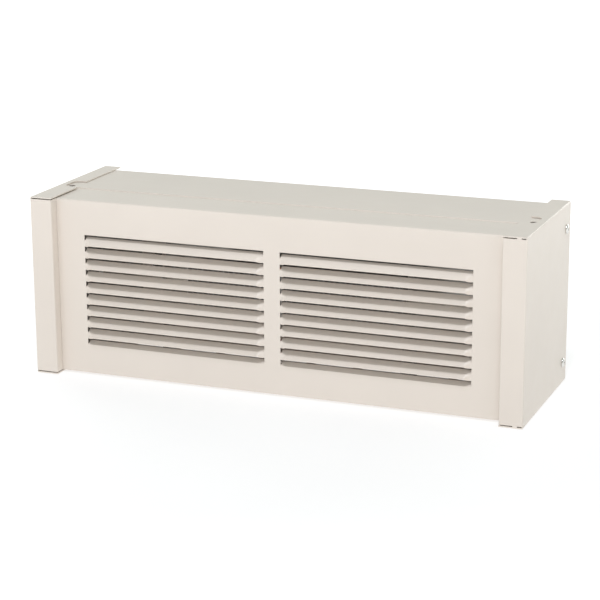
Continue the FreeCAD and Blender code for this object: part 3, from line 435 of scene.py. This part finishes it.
def settle(piece):
    """Replaces a piece's modifiers by the mesh that they give."""
    shapes = bpy.context.evaluated_depsgraph_get()
    settled = bpy.data.meshes.new_from_object(piece.evaluated_get(shapes))
    piece.modifiers.clear()
    piece.data = settled


def soften(piece, width, angle=50):
    """Smooth shading with crisp folds, and a narrow rounding along the sheet's cut edges."""
    piece.data.shade_smooth()
    piece.data.set_sharp_from_angle(angle=SHARP_ANGLE)
    rounding = piece.modifiers.new("rounding", "BEVEL")
    rounding.width = width
    rounding.segments = 2
    rounding.limit_method = "ANGLE"
    rounding.angle_limit = math.radians(angle)
    rounding.harden_normals = True


def punch(piece, cutters):
    """Takes the cutters out of a piece and deletes them."""
    for cutter in cutters:
        hole = piece.modifiers.new("hole", "BOOLEAN")
        hole.operation = "DIFFERENCE"
        hole.solver = "EXACT"
        hole.object = cutter
    settle(piece)
    for cutter in cutters:
        bpy.data.objects.remove(cutter)


def round_cutter(centre, radius, length):
    """An upright cylinder to punch a hole with."""
    shape = bmesh.new()
    bmesh.ops.create_cone(
        shape, cap_ends=True, segments=40, radius1=radius, radius2=radius, depth=length,
        matrix=Matrix.Translation(centre),
    )
    return linked("cutter", mesh_from(shape, "cutter"))


def refined(node, name, width):
    """A copy of a CAD node with its facets joined into whole faces and its edges rounded."""
    shape = bmesh.new()
    shape.from_mesh(nodes[node].data)
    bmesh.ops.remove_doubles(shape, verts=shape.verts, dist=WELD_DISTANCE)
    bmesh.ops.dissolve_limit(
        shape, angle_limit=FLAT_ANGLE, verts=shape.verts, edges=shape.edges,
    )
    soften(mesh_object(name, mesh_from(shape, name), node), width)


def mesh_object(name, mesh, node):
    """A new piece that stands for a CAD node, on the same body and with the same finish slot."""
    piece = linked(name, mesh)
    mesh.materials.append(finishes[slot_of[node]])
    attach(piece, body_of[node])
    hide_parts(node)
    return piece


def make_cover():
    """Front cover as one folded sheet, slit and turned into two banks of louvres."""
    low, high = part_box("front_cover")
    rows, open_rows = cover_rows(low, high)
    columns = cover_columns(high.x)
    points = []
    for x, inside in columns:
        for y, z, centre, across in rows:
            if inside is not None and centre is not None:
                y, z = louvre_point(inside, centre, across)
            points.append((x, y, z))
    count = len(rows)
    faces = []
    for column in range(len(columns) - 1):
        depths = [columns[column][1], columns[column + 1][1]]
        in_bank = None not in depths
        at_end = 0 in depths
        for row in range(count - 1):
            recessed = rows[row][3] > 0
            if in_bank and (row in open_rows or (at_end and recessed)):
                continue
            first = column * count + row
            faces.append((first, first + count, first + count + 1, first + 1))
    mesh = bpy.data.meshes.new("cover_panel")
    mesh.from_pydata(points, [], faces)
    piece = mesh_object("cover_panel", mesh, "front_cover")
    sheet = piece.modifiers.new("sheet", "SOLIDIFY")
    sheet.thickness = SHEET
    sheet.offset = -1
    sheet.use_even_offset = True
    holes = []
    for side in (-1, 1):
        centre = Vector((side * CLIP_HOLE_X, CLIP_HOLE_Y, high.z))
        holes.append(round_cutter(centre, CLIP_HOLE_RADIUS, 6 * MM))
    punch(piece, holes)
    soften(piece, 0.22 * MM)


# ---------------------------------------------------------------- small parts

def revolved(profile, place, sides=48, ripple=None):
    """Faces of a profile of (radius, height) turned round Z, then placed; ends at radius 0 are closed."""
    shape = bmesh.new()
    rings = []
    for radius, height in profile:
        if radius == 0:
            rings.append([shape.verts.new(place @ Vector((0, 0, height)))])
            continue
        ring = []
        for side in range(sides):
            turn = 2 * math.pi * side / sides
            reach = radius * (ripple(turn, height) if ripple else 1)
            point = Vector((reach * math.cos(turn), reach * math.sin(turn), height))
            ring.append(shape.verts.new(place @ point))
        rings.append(ring)
    for lower, upper in zip(rings, rings[1:]):
        for side in range(sides):
            following = (side + 1) % sides
            corners = [lower[side % len(lower)], lower[following % len(lower)]]
            corners += [upper[following % len(upper)], upper[side % len(upper)]]
            shape.faces.new(list(dict.fromkeys(corners)))
    bmesh.ops.recalc_face_normals(shape, faces=shape.faces)
    return shape


def arc_profile(start_radius, start_height, end_height, steps):
    """A quarter of an ellipse from a rim up to the axis."""
    rise = end_height - start_height
    points = []
    for step in range(1, steps + 1):
        turn = math.pi / 2 * step / steps
        radius = start_radius * math.cos(turn) if step < steps else 0
        points.append((radius, start_height + rise * math.sin(turn)))
    return points


def joined(shapes, name):
    """One mesh from several bmesh shapes."""
    whole = bmesh.new()
    for shape in shapes:
        part_mesh = mesh_from(shape, "part")
        whole.from_mesh(part_mesh)
        bpy.data.meshes.remove(part_mesh)
    return mesh_from(whole, name)


SCREW_HEAD = 5.0 * MM
SCREW_SHANK = 2.05 * MM
SCREW_THREAD_PITCH = 1.3 * MM
SCREW_THREAD_DEPTH = 0.35 * MM
SCREW_POINT = 0.9 * MM
SCREW_NECK = 1.6 * MM
HEAD_EDGE = 0.3 * MM
HEAD_RIM = 0.7 * MM
UPPER_SCREW_TURN = math.radians(20)
LOWER_SCREW_TURN = math.radians(65)
RECESS_REACH = 2.7 * MM
RECESS_WIDTH = 1.3 * MM
RECESS_DEPTH = 1.7 * MM
RECESS_REACH_TAPER = 0.45
RECESS_WIDTH_TAPER = 0.7


def screw_shape(place, length, height):
    """A pan head on a threaded shank; the head's seat is at height 0."""
    root = SCREW_SHANK - SCREW_THREAD_DEPTH
    profile = [(0, -length), (SCREW_SHANK * 0.5, -length), (root, -length + SCREW_POINT)]
    level = -length + 1.2 * MM
    while level < -2.2 * MM:
        profile.append((SCREW_SHANK, level))
        profile.append((root, level + SCREW_THREAD_PITCH / 2))
        level += SCREW_THREAD_PITCH
    profile += [(SCREW_SHANK, -SCREW_NECK), (SCREW_SHANK, 0)]
    profile += [(SCREW_HEAD - HEAD_EDGE, 0), (SCREW_HEAD, HEAD_EDGE), (SCREW_HEAD, HEAD_RIM)]
    profile += arc_profile(SCREW_HEAD, HEAD_RIM, height, 9)
    return revolved(profile, place)


def recess_cutter(place, height, quarter_turn):
    """One tapered bar of a cross recess."""
    shape = bmesh.new()
    bmesh.ops.create_cube(shape, size=1)
    for vertex in shape.verts:
        at_bottom = vertex.co.z < 0
        reach = RECESS_REACH * 2 * (RECESS_REACH_TAPER if at_bottom else 1.0)
        width = RECESS_WIDTH * (RECESS_WIDTH_TAPER if at_bottom else 1.0)
        wide, thin = (reach, width) if quarter_turn else (width, reach)
        depth = height - RECESS_DEPTH if at_bottom else height + 1 * MM
        vertex.co = place @ Vector((vertex.co.x * wide, vertex.co.y * thin, depth))
    return linked("recess", mesh_from(shape, "recess"))


def make_cap_screws():
    """Two zinc-plated screws in each end cap, with cross recesses."""
    for side, label in ((-1, "left"), (1, "right")):
        node = label + "_cap_screws"
        low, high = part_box(node)
        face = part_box(label + "_end_cap")[1 if side > 0 else 0].x
        outer = (high if side > 0 else low).x
        inner = (low if side > 0 else high).x
        shapes = []
        cutters = []
        levels = ((low.z + SCREW_HEAD, LOWER_SCREW_TURN), (high.z - SCREW_HEAD, UPPER_SCREW_TURN))
        for level, angle in levels:
            seat = Vector((face, (low.y + high.y) / 2, level))
            turn = Matrix.Rotation(angle, 4, "Z")
            outward = Vector((side, 0, 0)).to_track_quat("Z", "Y").to_matrix().to_4x4()
            place = Matrix.Translation(seat) @ outward @ turn
            height = abs(outer - face)
            shapes.append(screw_shape(place, abs(face - inner), height))
            cutters += [recess_cutter(place, height, quarter) for quarter in (False, True)]
        name = label + "_screws"
        piece = mesh_object(name, joined(shapes, name), node)
        punch(piece, cutters)
        soften(piece, 0.12 * MM, angle=40)


NUT_RIBS = 14
NUT_RIB_DEPTH = 0.045
NUT_SOCKET = 0.3
NUT_CROWN = 0.62


def make_wire_nuts():
    """Twist-on connectors: a ribbed skirt that narrows to a smooth crown, and a socket from below."""
    low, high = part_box("wire_connectors")
    skirt = (high.x - low.x) / 2
    height = high.z - low.z
    centre_x = (low.x + high.x) / 2

    def ribs(turn, level):
        if level < height * 0.12 or level > height * 0.8:
            return 1
        return 1 - NUT_RIB_DEPTH + NUT_RIB_DEPTH * math.cos(turn * NUT_RIBS)

    shapes = []
    for y in (low.y + skirt, high.y - skirt):
        place = Matrix.Translation(Vector((centre_x, y, low.z)))
        profile = [(0, height * NUT_SOCKET), (skirt * NUT_CROWN, height * NUT_SOCKET)]
        profile += [(skirt * 0.8, 0), (skirt * 0.94, 0)]
        profile += [(skirt, 0.5 * MM), (skirt, height * 0.1)]
        for share in spread(0, 1, 10):
            profile.append((skirt * (1 - 0.36 * share), height * (0.13 + 0.67 * share)))
        profile += [(skirt * NUT_CROWN, height * 0.84)]
        profile += arc_profile(skirt * NUT_CROWN, height * 0.88, height, 6)
        shapes.append(revolved(profile, place, sides=84, ripple=ribs))
    piece = mesh_object("wire_nuts", joined(shapes, "wire_nuts"), "wire_connectors")
    soften(piece, 0.1 * MM, angle=60)


ENTRY_X = 251 * MM
KNOCKOUT_RINGS = (0.80, 0.58)
KNOCKOUT_FLOOR = 0.6


def facing_back(point):
    """Places a shape turned round Z so that it points straight back from a point."""
    return Matrix.Translation(point) @ Y_AXIS.to_track_quat("Z", "X").to_matrix().to_4x4()


def make_knockouts():
    """Pressed blanks for the closed cable entries, each with two ring grooves."""
    low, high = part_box("knockout_discs")
    radius = high.x - ENTRY_X
    thick = high.y - low.y
    profile = [(0, 0), (radius, 0), (radius, thick * 0.85), (radius - 0.2 * MM, thick)]
    floor = thick * KNOCKOUT_FLOOR
    for ring in KNOCKOUT_RINGS:
        edge = radius * ring
        profile += [(edge, thick), (edge - 0.25 * MM, floor), (edge - 0.75 * MM, floor), (edge - MM, thick)]
    profile += [(0, thick)]
    shapes = []
    for x, z in ((-ENTRY_X, high.z - radius), (ENTRY_X, high.z - radius), (ENTRY_X, low.z + radius)):
        shapes.append(revolved(profile, facing_back(Vector((x, low.y, z))), sides=64))
    piece = mesh_object("knockout_blanks", joined(shapes, "knockout_blanks"), "knockout_discs")
    soften(piece, 0.08 * MM, angle=50)


HEM_RADIUS = 1.1 * MM
HEM_END = 245.6 * MM


def make_pan_hem():
    """Rolled edge along the front of the pan's top, between the end caps."""
    low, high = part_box("back_pan")
    middle = Vector((0, low.y + HEM_RADIUS * 0.6, high.z - SHEET))
    along = Matrix.Translation(middle) @ Matrix.Rotation(math.pi / 2, 4, "Y")
    end = HEM_END - HEM_RADIUS
    dome = [(radius, end + height) for radius, height in arc_profile(HEM_RADIUS, 0, HEM_RADIUS, 4)]
    foot = [(radius, -height) for radius, height in reversed(dome)]
    profile = foot + [(HEM_RADIUS, -end), (HEM_RADIUS, end)] + dome
    mesh = joined([revolved(profile, along, sides=24)], "pan_hem")
    mesh.materials.append(finishes["pan_paint"])
    mesh.shade_smooth()
    piece = linked("pan_hem", mesh)
    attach(piece, "heater")


RAIL_RIVETS = 6
RAIL_SHEET = 1.2 * MM
RAIL_HEIGHT = 42 * MM
RAIL_FLANGE_MIDDLE = 4.5 * MM
RIVET_INSET = 14 * MM
RIVET_RADIUS = 2.6 * MM
RIVET_HEIGHT = 0.9 * MM


def make_rail_rivets():
    """Rivets through both flanges of each wall rail into the back pan."""
    low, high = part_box("wall_rails")
    profile = [(0, 0), (RIVET_RADIUS, 0), (RIVET_RADIUS, RIVET_HEIGHT * 0.3)]
    profile += arc_profile(RIVET_RADIUS, RIVET_HEIGHT * 0.3, RIVET_HEIGHT, 5)
    shapes = []
    for base in (low.z, high.z - RAIL_HEIGHT):
        for z in (base + RAIL_FLANGE_MIDDLE, base + RAIL_HEIGHT - RAIL_FLANGE_MIDDLE):
            for x in spread(low.x + RIVET_INSET, high.x - RIVET_INSET, RAIL_RIVETS - 1):
                seat = Vector((x, low.y + RAIL_SHEET, z))
                shapes.append(revolved(profile, facing_back(seat), sides=24))
    mesh = joined(shapes, "rail_rivets")
    mesh.materials.append(finishes["rivet_steel"])
    mesh.shade_smooth()
    piece = linked("rail_rivets", mesh)
    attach(piece, "heater")


# ---------------------------------------------------------------- assembly

slot_of = {part["node"]: part["material_slot"] for part in frame["record"]["subparts"]}
body_of = {}
for body, members in frame["record"]["behaviour"]["bodies"].items():
    for member in members:
        body_of[member] = body

make_camera()
make_stage()
finishes = make_finishes()
make_cover()
for node, name in (("left_end_cap", "left_cap_sheet"), ("right_end_cap", "right_cap_sheet")):
    refined(node, name, 0.4 * MM)
refined("back_pan", "pan_sheet", 0.15 * MM)
refined("wall_rails", "rail_sheets", 0.25 * MM)
for label in ("left", "right"):
    refined(label + "_partition", label + "_partition_sheet", 0.2 * MM)
    refined(label + "_cap_bracket", label + "_bracket_sheet", 0.25 * MM)
    refined(label + "_element_support", label + "_support_sheet", 0.2 * MM)
refined("heat_shield", "shield_sheet", 0.15 * MM)
refined("clip_nuts", "spring_nuts", 0.2 * MM)
refined("limit_switch_body", "switch_case", 1.1 * MM)
make_cap_screws()
make_wire_nuts()
make_knockouts()
make_rail_rivets()
make_pan_hem()
for name, thing in nodes.items():
    for holder in thing.material_slots:
        holder.material = finishes[slot_of[name]]
